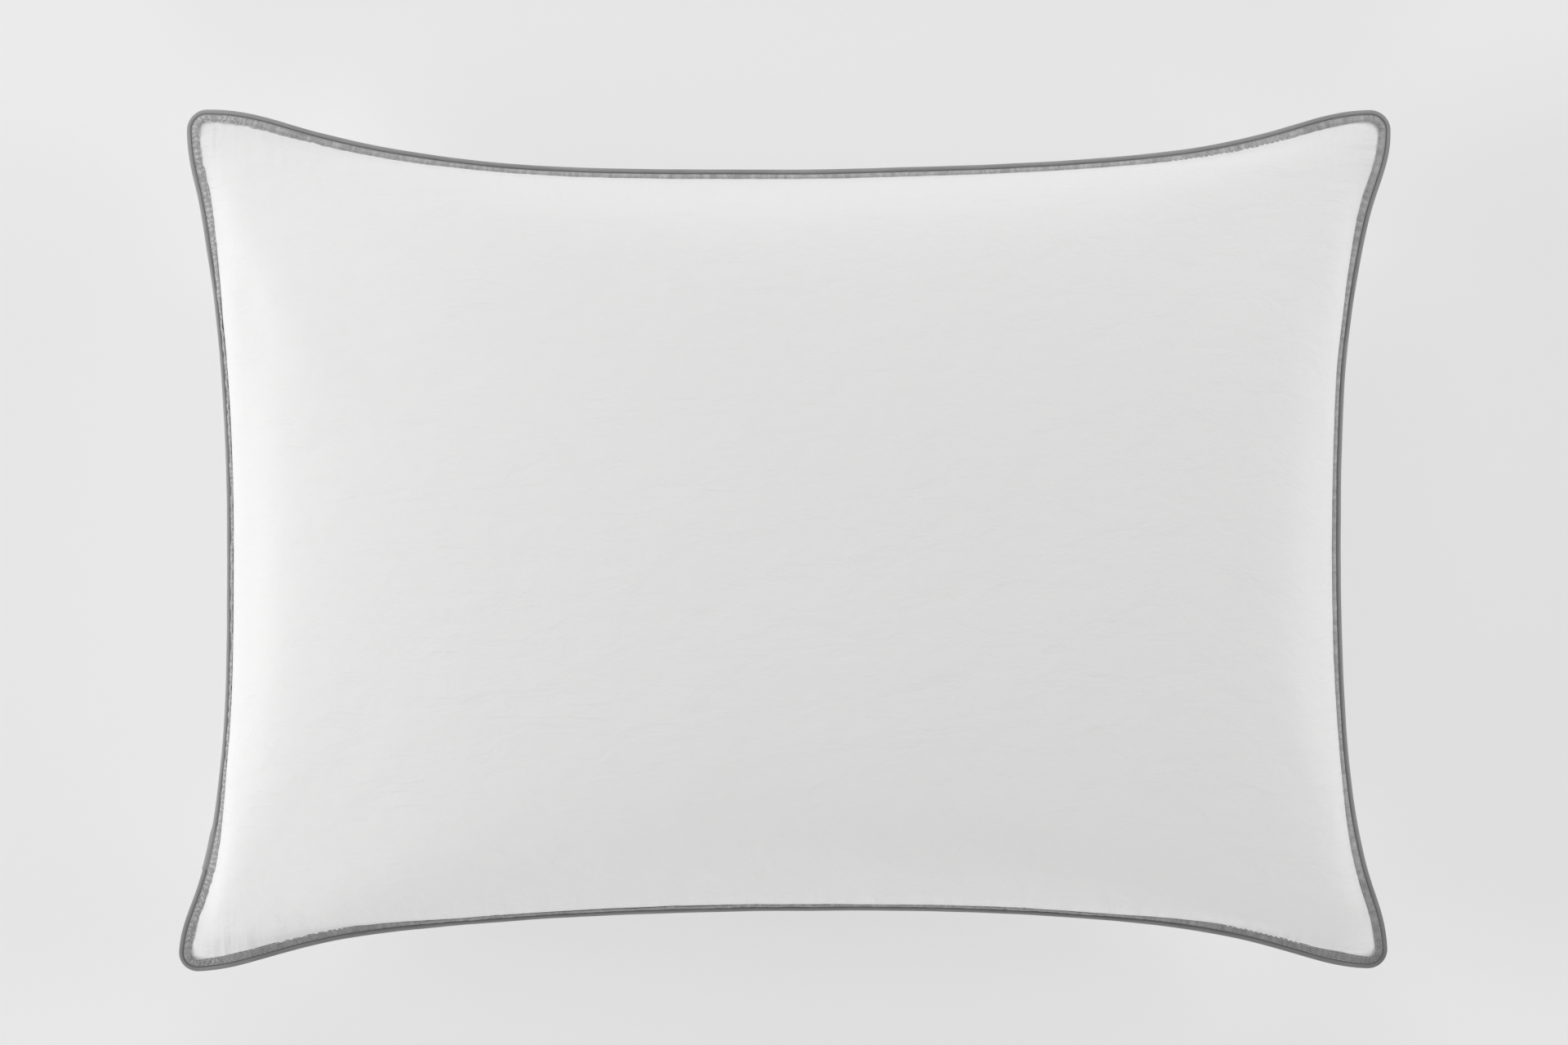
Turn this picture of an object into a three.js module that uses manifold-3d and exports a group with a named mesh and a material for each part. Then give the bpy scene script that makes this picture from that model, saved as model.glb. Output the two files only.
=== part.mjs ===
// Bed pillow: a filled cotton shell whose edge is bound with a corded, double-stitched tape.
//
// Two woven panels lie edge to edge and are caught in a folded bias tape. The fold of the tape carries a
// piping cord, and two rows of lockstitch run round the tape, one beside the cord and one along its hem.
// The tape is one strip: its end laps over its start. A folded care label is caught under the back hem.
//
// Millimetres, +Z up. The pillow lies on its back panel: the origin is on the surface it lies on, under its
// centre, with +X along the long side and +Y along the short side.

import * as THREE from 'three';
import { LoftGeometry } from 'three/addons/geometries/LoftGeometry.js';
import { mergeVertices } from 'three/addons/utils/BufferGeometryUtils.js';
import Module from 'manifold-3d';

// The filled pillow, measured over its binding.
const LENGTH = 704; // corner to corner along X
const WIDTH = 504; // corner to corner along Y
const LONG_SIDE_BOW = 35; // how far the filling pulls in the middle of a long side
const SHORT_SIDE_BOW = 26.5; // and of a short side
const CORNER_RADIUS = 12;
const MIDDLE_HANDLE = 0.88; // share of a half side over which its middle stays flat
const CORNER_HANDLE = 0.18; // share of a half side over which it runs straight into the corner

// The crowned panels. A panel's height follows ((1 - |u|^n) (1 - |v|^n))^p across the cut rectangle.
const SEAM_HEIGHT = 86; // seam plane above the surface that the pillow lies on
const FRONT_CROWN = 94; // height of the front panel over the seam plane
const BACK_BELLY = 104; // how deep the back panel would hang if nothing pressed it flat
const SQUARENESS = 2.15; // n: 2 is a dome, more carries the height further out
const ROUNDNESS = 0.54; // p: less gives a steeper edge
const REST_SHARE = 0.88; // share of the seam height at which the back panel starts to flatten

// Cloth, tape, cord and thread.
const PANEL_THICKNESS = 0.4;
const TAPE_THICKNESS = 0.4;
const CORD_RADIUS = 1.05;
const BINDING_WIDTH = 7.5; // from the outside of the piping to the hem
const CLEARANCE = 0.25; // between pieces that are stitched or pressed together
const CORD_ROW_GAP = 0.9; // from the piping to the row of stitches beside it
const HEM_ROW_GAP = 1.1; // from the hem to the row of stitches along it
const THREAD_WIDTH = 0.5;
const THREAD_HEIGHT = 0.35;
const HEM_CLEARANCE = 0.8; // from the hem to where the panel starts to rise
const FILLING_CLEARANCE = 0.6; // between the shell and the filling

// The care label, folded double, its open end caught between the back panel and the tape's hem.
const LABEL_WIDTH = 30;
const LABEL_THICKNESS = 0.4;
const LABEL_TUCK = 1.8; // how deep it is caught under the hem
const LABEL_END_CLEARANCE = 0.3; // from its caught end to where the tape has lifted to take it
const LABEL_LIFT_RUN = 0.6; // over which the tape's back lifts
const LABEL_CLEARANCE = 0.9; // from the back panel's outside
const LABEL_TURN_CLEARANCE = 0.1; // from where it turns down to where the panel starts to fall
const LABEL_SHARES = [0.985, 0.95, 0.91]; // rings of the back panel that it falls past, down to its end

// How finely the shape is divided.
const SIDE_STEPS = 7; // stations along a half side
const CORNER_STEPS = 4; // stations round a corner
const ROLL_STEPS = 7; // facets round the piping
const RING_SHARES = [0.12, 0.36, 0.58, 0.75, 0.87, 0.95, 0.985]; // rings of a panel, from its centre out
const LAP_STATION = 4 * SIDE_STEPS + 2 * CORNER_STEPS + 5; // where the tape's end starts to lap its start
const LABEL_STATION = 6 * SIDE_STEPS + 3 * CORNER_STEPS; // the label lies between this one and the next

// Derived sizes.
const HALF_LENGTH = LENGTH / 2;
const HALF_WIDTH = WIDTH / 2;
const HALF_SIZE = new THREE.Vector2(HALF_LENGTH, HALF_WIDTH);
const ROLL_INNER = CORD_RADIUS + CLEARANCE;
const ROLL_OUTER = ROLL_INNER + TAPE_THICKNESS;
const PANEL_INNER_Z = CLEARANCE / 2; // the panels' edges lie this far either side of the seam plane
const PANEL_OUTER_Z = PANEL_INNER_Z + PANEL_THICKNESS;
const TAPE_INNER_Z = PANEL_OUTER_Z + CLEARANCE;
const TAPE_OUTER_Z = TAPE_INNER_Z + TAPE_THICKNESS;
const PANEL_EDGE_INSET = 2 * ROLL_INNER + TAPE_THICKNESS + CLEARANCE;
const DOME_INSET = BINDING_WIDTH + HEM_CLEARANCE;
const CORD_ROW_INSET = 2 * ROLL_OUTER + CORD_ROW_GAP;
const HEM_ROW_INSET = BINDING_WIDTH - HEM_ROW_GAP;
const LAP_RISE = TAPE_THICKNESS + CLEARANCE;
const LABEL_RISE = LABEL_THICKNESS + CLEARANCE;
const RISE_END = BINDING_WIDTH - LABEL_TUCK - LABEL_END_CLEARANCE; // where the tape has lifted over the label
const RISE_START = RISE_END - LABEL_LIFT_RUN; // and where it starts to
const LABEL_TURN = HEM_CLEARANCE - LABEL_THICKNESS / 2 - LABEL_TURN_CLEARANCE; // past the hem

const wasm = await Module();
wasm.setup();

// ---- the outline and its stations ----

// A station is a point of the pillow's outline with its outward normal.

function quadrantStations() {
  const sideY = HALF_WIDTH - CORNER_RADIUS;
  const sideX = HALF_LENGTH - CORNER_RADIUS;
  const midX = HALF_LENGTH - SHORT_SIDE_BOW;
  const midY = HALF_WIDTH - LONG_SIDE_BOW;
  const at = (x, y) => new THREE.Vector2(x, y);
  const shortHalf = new THREE.CubicBezierCurve(
    at(midX, 0),
    at(midX, MIDDLE_HANDLE * sideY),
    at(HALF_LENGTH, (1 - CORNER_HANDLE) * sideY),
    at(HALF_LENGTH, sideY),
  );
  const corner = new THREE.EllipseCurve(sideX, sideY, CORNER_RADIUS, CORNER_RADIUS, 0, Math.PI / 2);
  const longHalf = new THREE.CubicBezierCurve(
    at(sideX, HALF_WIDTH),
    at((1 - CORNER_HANDLE) * sideX, HALF_WIDTH),
    at(MIDDLE_HANDLE * sideX, midY),
    at(0, midY),
  );
  const along = (curve, steps) =>
    Array.from({ length: steps }, (_, i) => {
      const tangent = curve.getTangentAt(i / steps);
      return { point: curve.getPointAt(i / steps), normal: at(tangent.y, -tangent.x) };
    });
  return [
    ...along(shortHalf, SIDE_STEPS),
    ...along(corner, CORNER_STEPS),
    ...along(longHalf, SIDE_STEPS),
    { point: at(0, midY), normal: at(0, 1) },
  ];
}

function mirrored(quadrant, sx, sy) {
  const turn = (v) => new THREE.Vector2(v.x * sx, v.y * sy);
  return quadrant.map(({ point, normal }) => ({ point: turn(point), normal: turn(normal) }));
}

function outlineStations() {
  const first = quadrantStations();
  const quadrants = [
    first,
    mirrored(first, -1, 1).reverse(),
    mirrored(first, -1, -1),
    mirrored(first, 1, -1).reverse(),
  ];
  return quadrants.flatMap((q) => q.slice(0, -1)); // a quadrant's last station is the next one's first
}

const stations = outlineStations();
const station = (i) => stations[i % stations.length];

// ---- heights of the panels ----

function bulge(u, v) {
  const across = 1 - Math.abs(u) ** SQUARENESS;
  const along = 1 - Math.abs(v) ** SQUARENESS;
  return Math.max(0, across * along) ** ROUNDNESS;
}

function frontHeight(u, v) {
  return FRONT_CROWN * bulge(u, v);
}

// The back panel's depth under the seam plane, eased into the flat patch that the pillow rests on.
function backDepth(u, v) {
  const depth = (BACK_BELLY * bulge(u, v)) / SEAM_HEIGHT;
  const ease = 1 - REST_SHARE;
  if (depth < REST_SHARE) return depth * SEAM_HEIGHT;
  if (depth > 1 + ease) return SEAM_HEIGHT;
  return (depth - (depth - REST_SHARE) ** 2 / (4 * ease)) * SEAM_HEIGHT;
}

// ---- rings and sections ----

// A section of the edge at one station, drawn as [distance inside the outline, z from the seam plane].
function edgeSection({ point, normal }, section) {
  return section.map(
    ([inset, z]) =>
      new THREE.Vector3(point.x - normal.x * inset, point.y - normal.y * inset, SEAM_HEIGHT + z),
  );
}

function rimRing(inset, z) {
  return stations.map((s) => edgeSection(s, [[inset, z]])[0]);
}

// A ring of a crowned surface at a share of the way from its centre to its rim. It rounds off from the
// outline to an ellipse on the way in, and (u, v) rounds off with it from a square to a circle.
function domeRing(share, inset, z) {
  return rimRing(DOME_INSET + inset, 0).map((rim, i) => {
    const round = stations[i].point.clone().divide(HALF_SIZE);
    const square = round.clone().divideScalar(Math.max(Math.abs(round.x), Math.abs(round.y)));
    round.normalize();
    const uv = round.clone().lerp(square, share * share).multiplyScalar(share);
    const ellipse = round.clone().multiply(HALF_SIZE);
    const x = THREE.MathUtils.lerp(ellipse.x, rim.x, share * share) * share;
    const y = THREE.MathUtils.lerp(ellipse.y, rim.y, share * share) * share;
    return new THREE.Vector3(x, y, SEAM_HEIGHT + z(uv.x, uv.y));
  });
}

// The rings of a crowned surface from its centre point out.
function domeRings(inset, z) {
  const centre = stations.map(() => new THREE.Vector3(0, 0, SEAM_HEIGHT + z(0, 0)));
  return [centre, ...RING_SHARES.map((share) => domeRing(share, inset, z))];
}

// A loop round the whole outline, its section given for each station.
function loop(sectionOf) {
  const order = [...stations.keys(), 0];
  return new LoftGeometry(order.map((i) => edgeSection(stations[i], sectionOf(i))));
}

// ---- the tape's rises over its own lap and over the label ----

const LAP_STATIONS = [LAP_STATION, LAP_STATION + 1];
const LABEL_STATIONS = [LABEL_STATION, LABEL_STATION + 1];

function labelRise(i) {
  return LABEL_STATIONS.includes(i % stations.length) ? LABEL_RISE : 0;
}

// Share of its rise over the label that the tape's back has reached at a distance inside the outline.
function liftShare(inset) {
  return THREE.MathUtils.clamp((inset - RISE_START) / LABEL_LIFT_RUN, 0, 1);
}

// ---- the pieces ----

function toSolid(geometry) {
  const bare = new THREE.BufferGeometry();
  bare.setAttribute('position', geometry.getAttribute('position'));
  bare.setIndex(geometry.getIndex());
  const { attributes, index } = mergeVertices(bare);
  const vertProperties = attributes.position.array;
  const triVerts = new Uint32Array(index.array);
  return new wasm.Manifold(new wasm.Mesh({ numProp: 3, vertProperties, triVerts }));
}

// A hollow shell, the outer body less the inner one.
function shell(outer, inner) {
  const { vertProperties, triVerts } = toSolid(outer).subtract(toSolid(inner)).getMesh();
  const geometry = new THREE.BufferGeometry();
  geometry.setAttribute('position', new THREE.BufferAttribute(vertProperties, 3));
  geometry.setIndex(new THREE.BufferAttribute(triVerts, 1));
  geometry.computeVertexNormals();
  return geometry;
}

function frontPanel() {
  const outer = [
    rimRing(PANEL_EDGE_INSET, PANEL_INNER_Z),
    rimRing(PANEL_EDGE_INSET, PANEL_OUTER_Z),
    rimRing(DOME_INSET, PANEL_OUTER_Z),
    ...domeRings(0, (u, v) => PANEL_OUTER_Z + frontHeight(u, v)).reverse(),
  ];
  const inner = [
    rimRing(DOME_INSET + PANEL_THICKNESS, -PANEL_THICKNESS),
    ...domeRings(PANEL_THICKNESS, (u, v) => PANEL_INNER_Z + frontHeight(u, v)).reverse(),
  ];
  return shell(new LoftGeometry(outer, { capStart: true }), new LoftGeometry(inner, { capStart: true }));
}

function backOutside(u, v) {
  return -Math.max(PANEL_OUTER_Z, backDepth(u, v));
}

function backPanel() {
  const outer = [
    ...domeRings(0, backOutside),
    rimRing(DOME_INSET, -PANEL_OUTER_Z),
    rimRing(PANEL_EDGE_INSET, -PANEL_OUTER_Z),
    rimRing(PANEL_EDGE_INSET, -PANEL_INNER_Z),
  ];
  const inner = [
    ...domeRings(PANEL_THICKNESS, (u, v) => backOutside(u, v) + PANEL_THICKNESS),
    rimRing(DOME_INSET + PANEL_THICKNESS, PANEL_THICKNESS),
  ];
  return shell(new LoftGeometry(outer, { capEnd: true }), new LoftGeometry(inner, { capEnd: true }));
}

function filling() {
  const inset = PANEL_THICKNESS + FILLING_CLEARANCE;
  const top = (u, v) => Math.max(PANEL_INNER_Z, frontHeight(u, v) - FILLING_CLEARANCE);
  const bottom = (u, v) => Math.min(-PANEL_INNER_Z, inset - backDepth(u, v));
  return new LoftGeometry([...domeRings(inset, bottom), ...domeRings(inset, top).reverse()]);
}

// The tape's section, from the front hem over the piping to the back hem and back inside. All of it
// stands further out by lapRise over the lap, and its back hem by hemRise over the label.
function tapeSection(lapRise, hemRise) {
  const arc = (radius, level) => {
    const reach = Math.PI - Math.asin(level / radius);
    return Array.from({ length: ROLL_STEPS + 1 }, (_, i) => {
      const angle = reach * (1 - (2 * i) / ROLL_STEPS);
      return [ROLL_OUTER - radius * Math.cos(angle), radius * Math.sin(angle)];
    });
  };
  const outer = TAPE_OUTER_Z + lapRise;
  const inner = TAPE_INNER_Z + lapRise;
  return [
    [BINDING_WIDTH, outer],
    ...arc(ROLL_OUTER + lapRise, outer),
    [RISE_START, -outer],
    [RISE_END, -outer - hemRise],
    [BINDING_WIDTH, -outer - hemRise],
    [BINDING_WIDTH, -inner - hemRise],
    [RISE_END, -inner - hemRise],
    [RISE_START, -inner],
    ...arc(ROLL_INNER + lapRise, inner).reverse(),
    [BINDING_WIDTH, inner],
  ];
}

function edgeBinding() {
  const count = stations.length;
  const sections = Array.from({ length: count + 2 }, (_, i) => {
    const at = LAP_STATION + i;
    const lapRise = i < count ? 0 : LAP_RISE;
    return edgeSection(station(at), tapeSection(lapRise, labelRise(at)));
  });
  return new LoftGeometry(sections, { capStart: true, capEnd: true });
}

function pipingCord() {
  const section = Array.from({ length: ROLL_STEPS }, (_, i) => {
    const angle = (-2 * Math.PI * i) / ROLL_STEPS;
    return [ROLL_OUTER - CORD_RADIUS * Math.cos(angle), CORD_RADIUS * Math.sin(angle)];
  });
  return loop(() => section);
}

// One thread of a row of lockstitch, laid along the tape's front (side 1) or back (side -1).
function threadRow(inset, side) {
  const near = inset - THREAD_WIDTH / 2;
  const far = inset + THREAD_WIDTH / 2;
  const lift = side < 0 ? liftShare(far) : 0;
  return loop((i) => {
    const lapRise = LAP_STATIONS.includes(i) ? LAP_RISE : 0;
    const low = TAPE_OUTER_Z + CLEARANCE + lapRise + lift * labelRise(i);
    const high = low + THREAD_HEIGHT;
    const box = [
      [far, low],
      [far, high],
      [near, high],
      [near, low],
    ];
    return side > 0 ? box : box.map(([n, z]) => [n, -z]).reverse();
  });
}

// The label comes out of the hem level and falls past the back panel.
function careLabel() {
  const [from, to] = LABEL_STATIONS.map((i) => station(i).point.x);
  const middle = (from + to) / 2;
  const sections = [middle - LABEL_WIDTH / 2, middle + LABEL_WIDTH / 2].map(labelSection);
  return new LoftGeometry(sections, { capStart: true, capEnd: true });
}

// The label's profile at one place along the long side at -Y.
function labelSection(x) {
  const level = -PANEL_OUTER_Z - CLEARANCE - LABEL_THICKNESS / 2;
  const hem = crossing(rimRing(BINDING_WIDTH, level), x);
  const falls = LABEL_SHARES.map((share) => crossing(domeRing(share, 0, backOutside), x));
  const path = [
    new THREE.Vector2(hem.y - LABEL_TUCK, hem.z),
    new THREE.Vector2(hem.y + LABEL_TURN, hem.z),
    ...falls.map((p) => new THREE.Vector2(p.y - LABEL_CLEARANCE, p.z)),
  ];
  const upper = beside(path, LABEL_THICKNESS / 2);
  const lower = beside(path, -LABEL_THICKNESS / 2);
  return [...lower, ...upper.reverse()].map((p) => new THREE.Vector3(x, p.x, p.y));
}

// Where a ring's side at -Y crosses the given x.
function crossing(ring, x) {
  const i = ring.findIndex((p, j) => p.y < 0 && p.x <= x && ring[(j + 1) % ring.length].x > x);
  const next = ring[(i + 1) % ring.length];
  return ring[i].clone().lerp(next, (x - ring[i].x) / (next.x - ring[i].x));
}

// A path moved sideways by a distance, to its left when positive.
function beside(path, distance) {
  return path.map((p, i) => {
    const before = p.clone().sub(path[Math.max(i - 1, 0)]).normalize();
    const after = path[Math.min(i + 1, path.length - 1)].clone().sub(p).normalize();
    const along = before.add(after).normalize();
    return new THREE.Vector2(p.x - along.y * distance, p.y + along.x * distance);
  });
}

// ---- assembly ----

const cotton = { color: 0xf4f4f3, roughness: 0.85, metalness: 0 };
const greyTape = { color: 0x8f8f8f, roughness: 0.75, metalness: 0 };
const greyThread = { color: 0x9a9a9a, roughness: 0.6, metalness: 0 };
const cordCotton = { color: 0xe9e6df, roughness: 0.95, metalness: 0 };
const fibre = { color: 0xfafafa, roughness: 1, metalness: 0 };
const satin = { color: 0xf7f7f7, roughness: 0.5, metalness: 0 };

const pieces = [
  ['front_panel', frontPanel(), cotton],
  ['back_panel', backPanel(), cotton],
  ['filling', filling(), fibre],
  ['edge_binding', edgeBinding(), greyTape],
  ['piping_cord', pipingCord(), cordCotton],
  ['cord_row_needle_thread', threadRow(CORD_ROW_INSET, 1), greyThread],
  ['cord_row_bobbin_thread', threadRow(CORD_ROW_INSET, -1), greyThread],
  ['hem_row_needle_thread', threadRow(HEM_ROW_INSET, 1), greyThread],
  ['hem_row_bobbin_thread', threadRow(HEM_ROW_INSET, -1), greyThread],
  ['care_label', careLabel(), satin],
];

const pillow = new THREE.Group();
for (const [name, geometry, finish] of pieces) {
  const mesh = new THREE.Mesh(geometry, new THREE.MeshStandardMaterial(finish));
  mesh.name = name;
  pillow.add(mesh);
}

export default pillow;
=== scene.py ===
import bisect
import math

import bmesh
import bpy
from mathutils import Matrix, Vector, noise
from mathutils.geometry import interpolate_bezier
from mathutils.kdtree import KDTree


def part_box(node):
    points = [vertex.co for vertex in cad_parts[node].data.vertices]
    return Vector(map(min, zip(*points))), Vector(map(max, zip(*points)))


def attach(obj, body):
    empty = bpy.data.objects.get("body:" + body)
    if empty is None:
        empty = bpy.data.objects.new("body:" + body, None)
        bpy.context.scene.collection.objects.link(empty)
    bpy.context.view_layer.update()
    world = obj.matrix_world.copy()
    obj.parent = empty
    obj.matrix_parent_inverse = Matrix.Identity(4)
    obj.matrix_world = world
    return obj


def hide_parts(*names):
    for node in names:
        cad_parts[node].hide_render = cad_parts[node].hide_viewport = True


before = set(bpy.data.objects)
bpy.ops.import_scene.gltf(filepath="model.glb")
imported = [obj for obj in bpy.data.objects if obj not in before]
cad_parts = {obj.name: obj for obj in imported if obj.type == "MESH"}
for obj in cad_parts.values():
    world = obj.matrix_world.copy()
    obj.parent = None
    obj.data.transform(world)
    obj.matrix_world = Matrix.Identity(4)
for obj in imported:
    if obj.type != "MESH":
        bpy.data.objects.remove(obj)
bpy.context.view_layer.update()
mm = 0.001


# every piece of the edge follows one line, the outside of the piping
edge = {
    "cornerRadius": 12 * mm,
    "middleHandle": 0.88,  # share of a half side over which its middle stays flat
    "cornerHandle": 0.18,
    "stitch": 3.0 * mm,  # wanted stitch length, rounded to close the row
    "linePoints": {"side": 120, "corner": 24, "far": 160},
    "wander": 0.3 * mm,  # how far the sewn edge strays from a true line
    "wanderWaves": [(9, 1), (40, 0.5)],  # waves to the metre, and the share of each
    "start": 172 * mm,  # from the middle of the -X side towards -Y to where the tape starts
}
# a filled pillow is never quite even: how many mm each side stands out, at shares of its half length
uneven = {
    "far": [(-1, 0), (-0.76, 1.0), (-0.44, -1.7), (0, 0), (0.25, 1.0), (0.84, -1.2), (1, 0)],
    "near": [(-1, 0.4), (-0.86, -1.6), (-0.48, 1.8), (0, 0), (0.43, -1.8), (0.84, -3.3), (1, -1.4)],
    "left": [(-1, 1.6), (-0.8, -1.8), (-0.5, -1.6), (0, 0.4), (0.65, 2.7), (0.92, -2.0), (1, -2.0)],
    "right": [(-1, 0.4), (-0.85, -0.6), (-0.4, -0.2), (0.35, 0.6), (0.68, 3.2), (1, 3.5)],
}


def reachAtMiddle(node, axis):
    # how far a node reaches along x or y where it crosses the other axis
    points = [v.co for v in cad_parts[node].data.vertices]
    return max(p[axis] for p in points if abs(p[1 - axis]) < 1 * mm)


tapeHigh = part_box("edge_binding")[1]
cordLow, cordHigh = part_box("piping_cord")
halfLength, halfWidth = tapeHigh[0], tapeHigh[1]
middleX = reachAtMiddle("edge_binding", 0)
middleY = reachAtMiddle("edge_binding", 1)
seamHeight = (cordLow[2] + cordHigh[2]) / 2
cordRadius = (cordHigh[2] - cordLow[2]) / 2


def outOf(along):
    # the way out from a line that is walked counter-clockwise
    return Vector((along.y, -along.x, 0))


def quarterLine(inset):
    # from the middle of the right side, round the corner, to the middle of the far side
    radius, points = edge["cornerRadius"], edge["linePoints"]
    cornerX, cornerY = halfLength - radius, halfWidth - radius
    flat, straight = edge["middleHandle"], 1 - edge["cornerHandle"]
    side = interpolate_bezier(
        (middleX, 0, 0), (middleX, flat * cornerY, 0),
        (halfLength, straight * cornerY, 0), (halfLength, cornerY, 0), points["side"],
    )
    far = interpolate_bezier(
        (cornerX, halfWidth, 0), (straight * cornerX, halfWidth, 0),
        (flat * cornerX, middleY, 0), (0, middleY, 0), points["far"],
    )
    turn = [
        Vector((cornerX + radius * math.cos(angle), cornerY + radius * math.sin(angle), 0))
        for angle in (math.pi / 2 * i / points["corner"] for i in range(1, points["corner"]))
    ]
    line = [*side, *turn, *far]
    moved = []
    for i, point in enumerate(line):
        along = (line[min(i + 1, len(line) - 1)] - line[max(i - 1, 0)]).normalized()
        moved.append(point - outOf(along) * inset)
    return moved


def softStep(value, low, high):
    share = max(0.0, min(1.0, (value - low) / (high - low)))
    return share * share * (3 - 2 * share)


def standOut(side, share):
    # how far a side stands out at a share of its half length
    for (start, low), (end, high) in zip(uneven[side], uneven[side][1:]):
        if share <= end:
            return (low + (high - low) * softStep(share, start, end)) * mm
    return uneven[side][-1][1] * mm


def unevened(point):
    u, v = point.x / halfLength, point.y / halfWidth
    acrossX = standOut("right" if u > 0 else "left", v) * math.copysign(u * u, u)
    acrossY = standOut("far" if v > 0 else "near", u) * math.copysign(v * v, v)
    return point + Vector((acrossX, acrossY, 0))


def flipped(line, x, y):
    return [Vector((p.x * x, p.y * y, 0)) for p in line]


def spread(line, count):
    # count + 1 points at equal steps along a line
    lengths = [0]
    for a, b in zip(line, line[1:]):
        lengths.append(lengths[-1] + (b - a).length)
    points = []
    for i in range(count + 1):
        want = lengths[-1] * i / count
        k = min(max(bisect.bisect_right(lengths, want) - 1, 0), len(line) - 2)
        share = (want - lengths[k]) / max(lengths[k + 1] - lengths[k], 1e-12)
        points.append(line[k].lerp(line[k + 1], min(max(share, 0), 1)))
    return points, lengths[-1]


def wholeLine():
    # once round, counter-clockwise, from the middle of the -X side
    quarter = quarterLine(0)
    back = quarter[::-1]
    line = [
        *flipped(quarter, -1, -1)[:-1],
        *flipped(back, 1, -1)[:-1],
        *quarter[:-1],
        *flipped(back, -1, 1),
    ]
    line = [unevened(point) for point in line]
    _, length = spread(line, 1)
    stitches = round(length / edge["stitch"])
    points, _ = spread(line, stitches * 2)
    points.pop()
    first = round(edge["start"] / length * len(points))
    return points[first:] + points[:first], length


stations, edgeLength = wholeLine()
stationCount = len(stations)
stationStep = edgeLength / stationCount


def station(i):
    return stations[i % stationCount]


def linePoint(place):
    # the point of the edge line at a place counted in stations
    i = math.floor(place)
    return station(i).lerp(station(i + 1), place - i)


def stationFrame(place):
    # the same point as it is sewn, and the way out from it
    i, point = math.floor(place), linePoint(place)
    out = outOf((station(i + 2) - station(i - 1)).normalized())
    stray = sum(noise.noise(point * waves) * edge["wander"] * share for waves, share in edge["wanderWaves"])
    return point + out * stray, out


print("edge line", round(edgeLength, 3), "m,", stationCount // 2, "stitches a row")


class Signal:
    # a value on its way through a shader
    def __init__(self, finish, socket):
        self.finish, self.socket = finish, socket

    def maths(self, operation, *others):
        inputs = dict(enumerate([self, *others]))
        return self.finish.node("ShaderNodeMath", {"operation": operation}, inputs)

    def reflected(self, operation, other):
        return self.finish.node("ShaderNodeMath", {"operation": operation}, {0: other, 1: self})

    def __add__(self, other):
        return self.maths("ADD", other)

    def __sub__(self, other):
        return self.maths("SUBTRACT", other)

    def __mul__(self, other):
        return self.maths("MULTIPLY", other)

    def __truediv__(self, other):
        return self.maths("DIVIDE", other)

    def __pow__(self, other):
        return self.maths("POWER", other)

    def __radd__(self, other):
        return self.reflected("ADD", other)

    def __rsub__(self, other):
        return self.reflected("SUBTRACT", other)

    def __rmul__(self, other):
        return self.reflected("MULTIPLY", other)

    def __abs__(self):
        return self.maths("ABSOLUTE")

    def between(self, low, high):
        # 0 below low, 1 above high, and even in between
        inputs = {"Value": self, "From Min": low, "From Max": high}
        return self.finish.node("ShaderNodeMapRange", {"clamp": True}, inputs)

    def parts(self):
        split = self.finish.node("ShaderNodeSeparateXYZ", {}, {0: self})
        return [Signal(self.finish, output) for output in split.socket.node.outputs]


class Finish:
    # one material and the nodes in it
    def __init__(self, name):
        self.material = bpy.data.materials.new(name)
        self.material.use_nodes = True
        self.tree = self.material.node_tree
        self.tree.nodes.clear()

    def node(self, kind, settings, inputs, output=0):
        made = self.tree.nodes.new(kind)
        for name, value in settings.items():
            setattr(made, name, value)
        for name, value in inputs.items():
            if isinstance(value, Signal):
                self.tree.links.new(value.socket, made.inputs[name])
            else:
                made.inputs[name].default_value = value
        return Signal(self, made.outputs[output])

    def clothPlace(self, stretch=(1, 1, 1), turn=0):
        # where a point lies on the flat cloth, in metres
        place = self.node("ShaderNodeUVMap", {"uv_map": "cloth"}, {})
        inputs = {"Vector": place, "Scale": stretch, "Rotation": (0, 0, turn)}
        return self.node("ShaderNodeMapping", {}, inputs)

    def weave(self, pitch, turn=0):
        # threads going over and under each other
        x, y, _ = self.clothPlace(turn=turn).parts()
        return (x * (math.pi / pitch)).maths("SINE") * (y * (math.pi / pitch)).maths("SINE")

    def cloud(self, place, scale=1.0, detail=3.0, roughness=0.55, distortion=0.0):
        inputs = {"Vector": place, "Scale": scale, "Detail": detail}
        inputs.update({"Roughness": roughness, "Distortion": distortion})
        return self.node("ShaderNodeTexNoise", {}, inputs)

    def bands(self, place, scale, distortion=0.0):
        inputs = {"Vector": place, "Scale": scale, "Distortion": distortion}
        return self.node("ShaderNodeTexWave", {"wave_type": "BANDS"}, inputs)

    def mixed(self, share, first, second):
        inputs = {0: share, 6: (*first, 1), 7: (*second, 1)}
        return self.node("ShaderNodeMix", {"data_type": "RGBA"}, inputs, 2)

    def bump(self, height, distance, strength, under=None):
        inputs = {"Height": height, "Distance": distance, "Strength": strength}
        if under:
            inputs["Normal"] = under
        return self.node("ShaderNodeBump", {}, inputs)

    def surface(self, inputs):
        shader = self.node("ShaderNodeBsdfPrincipled", {}, inputs)
        output = self.tree.nodes.new("ShaderNodeOutputMaterial")
        self.tree.links.new(shader.socket, output.inputs["Surface"])
        return self.material


def finishPiece(bm, name, material):
    mesh = bpy.data.meshes.new(name)
    for face in bm.faces:
        face.smooth = True
    bm.to_mesh(mesh)
    bm.free()
    mesh.materials.append(material)
    piece = bpy.data.objects.new(name, mesh)
    bpy.context.scene.collection.objects.link(piece)
    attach(piece, "root")
    return piece


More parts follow.
